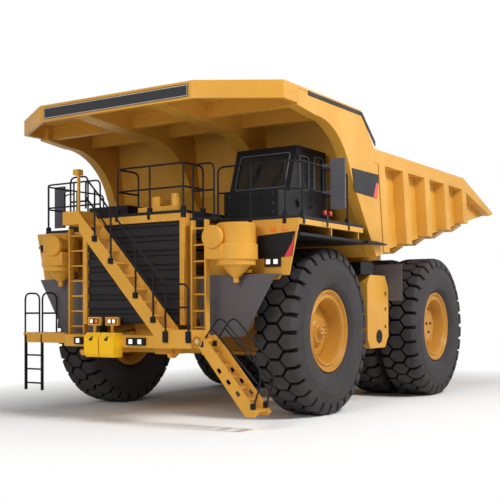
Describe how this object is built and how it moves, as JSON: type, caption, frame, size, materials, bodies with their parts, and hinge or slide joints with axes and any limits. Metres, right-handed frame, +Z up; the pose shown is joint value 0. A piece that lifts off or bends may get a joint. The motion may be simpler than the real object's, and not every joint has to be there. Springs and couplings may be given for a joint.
{
  "type": "mining dump truck",
  "caption": "Rigid frame mining dump truck with a canopied hoist-raised dump body, steered front wheels, twin rear wheels, side cab and folding access ladder.",
  "frame": {"origin": "on the ground under the middle of the truck's length and width", "axes": "+X forward, +Y to the truck's left, +Z up"},
  "size_m": [14.04, 7.92, 6.64],
  "materials": {
    "yellow_paint": "satin",
    "black_paint": "satin",
    "grey_panel": "satin",
    "tyre_rubber": "matt",
    "window_glass": "tinted",
    "seat_cloth": "woven",
    "dash_plastic": "moulded",
    "rod_chrome": "polished"
  },
  "bodies": {
    "chassis": {"main_frame": "yellow_paint", "frame_members": "yellow_paint", "rear_axle": "yellow_paint", "engine_block": "yellow_paint", "drive_line": "yellow_paint", "radiator_frame": "yellow_paint", "radiator_grille": "black_paint", "upper_deck": "black_paint", "fenders": "yellow_paint", "splash_shields": "grey_panel", "air_cleaners": "yellow_paint", "front_bumper": "yellow_paint", "cross_stair": "yellow_paint", "side_ladders": "yellow_paint", "cab_shell": "black_paint", "cab_glass": "window_glass", "operator_seat": "seat_cloth", "cab_dash": "dash_plastic", "deck_rails": "black_paint", "mirrors": "black_paint", "deck_boxes": "black_paint", "lamp_boxes": "black_paint", "fuel_tank": "yellow_paint"},
    "steer_left": {"knuckle_left": "yellow_paint"},
    "steer_right": {"knuckle_right": "yellow_paint"},
    "tie_rod": {"tie_rod": "yellow_paint"},
    "wheel_front_left": {"tyre_front_left": "tyre_rubber", "rim_front_left": "yellow_paint"},
    "wheel_front_right": {"tyre_front_right": "tyre_rubber", "rim_front_right": "yellow_paint"},
    "wheel_rear_left": {"tyres_rear_left": "tyre_rubber", "rims_rear_left": "yellow_paint"},
    "wheel_rear_right": {"tyres_rear_right": "tyre_rubber", "rims_rear_right": "yellow_paint"},
    "dump_body": {"bed_tray": "yellow_paint", "bed_sides": "yellow_paint", "bed_rails": "yellow_paint", "bed_bolsters": "yellow_paint", "bed_shoulders": "yellow_paint", "canopy": "yellow_paint", "canopy_beams": "yellow_paint", "body_plates": "black_paint"},
    "hoist_barrels": {"hoist_barrels": "yellow_paint"},
    "hoist_stages": {"hoist_stages": "yellow_paint"},
    "hoist_rods": {"hoist_rods": "rod_chrome"},
    "cab_door": {"cab_door": "black_paint", "door_glass": "window_glass"},
    "access_ladder": {"access_ladder": "yellow_paint", "ladder_rails": "black_paint"}
  },
  "joints": [
    {"name": "steer_left", "type": "hinge", "parent": "chassis", "child": "steer_left", "pos_m": [3.52, 1.85, 1.78771], "axis": [0, 0, 1], "range_deg": [-36, 36]},
    {"name": "steer_right", "type": "hinge", "parent": "chassis", "child": "steer_right", "pos_m": [3.52, -1.85, 1.78771], "axis": [0, 0, 1], "range_deg": [-36, 36]},
    {"name": "tie_rod_slide", "type": "slide", "parent": "chassis", "child": "tie_rod", "axis": [0, 1, 0], "range_m": [-0.33, 0.33]},
    {"name": "roll_front_left", "type": "hinge", "parent": "steer_left", "child": "wheel_front_left", "pos_m": [3.52, 2.715, 1.78771], "axis": [0, 1, 0], "continuous": true},
    {"name": "roll_rear_left", "type": "hinge", "parent": "chassis", "child": "wheel_rear_left", "pos_m": [-2.18, 2.36, 1.78771], "axis": [0, 1, 0], "continuous": true},
    {"name": "roll_front_right", "type": "hinge", "parent": "steer_right", "child": "wheel_front_right", "pos_m": [3.52, -2.715, 1.78771], "axis": [0, 1, 0], "continuous": true},
    {"name": "roll_rear_right", "type": "hinge", "parent": "chassis", "child": "wheel_rear_right", "pos_m": [-2.18, -2.36, 1.78771], "axis": [0, 1, 0], "continuous": true},
    {"name": "dump", "type": "hinge", "parent": "chassis", "child": "dump_body", "pos_m": [-3.68, 0, 2.9], "axis": [0, -1, 0], "range_deg": [0, 45]},
    {"name": "hoist_tilt", "type": "hinge", "parent": "chassis", "child": "hoist_barrels", "pos_m": [0.02, 0, 1.25], "axis": [0, -1, 0], "range_deg": [0, 20.26]},
    {"name": "hoist_stage_slide", "type": "slide", "parent": "hoist_barrels", "child": "hoist_stages", "axis": [0.0971, 0, 0.9953], "range_m": [0, 1.3961]},
    {"name": "hoist_rod_slide", "type": "slide", "parent": "hoist_stages", "child": "hoist_rods", "axis": [0.0971, 0, 0.9953], "range_m": [0, 1.3961]},
    {"name": "cab_door", "type": "hinge", "parent": "chassis", "child": "cab_door", "pos_m": [4.312, 2.802, 4.9], "axis": [0, 0, -1], "range_deg": [0, 85]},
    {"name": "ladder_fold", "type": "hinge", "parent": "chassis", "child": "access_ladder", "pos_m": [6.67, 2.03, 1.65], "axis": [1, 0, 0], "range_deg": [0, 75]}
  ],
  "couplings": [
    {"joint": "steer_right", "follows": "steer_left", "ratio": 1},
    {"joint": "tie_rod_slide", "follows": "steer_left", "m_per_rad": -0.5239},
    {"joint": "hoist_tilt", "follows": "dump", "ratio": 0.44912},
    {"joint": "hoist_stage_slide", "follows": "dump", "m_per_rad": 1.775},
    {"joint": "hoist_rod_slide", "follows": "dump", "m_per_rad": 1.775}
  ]
}
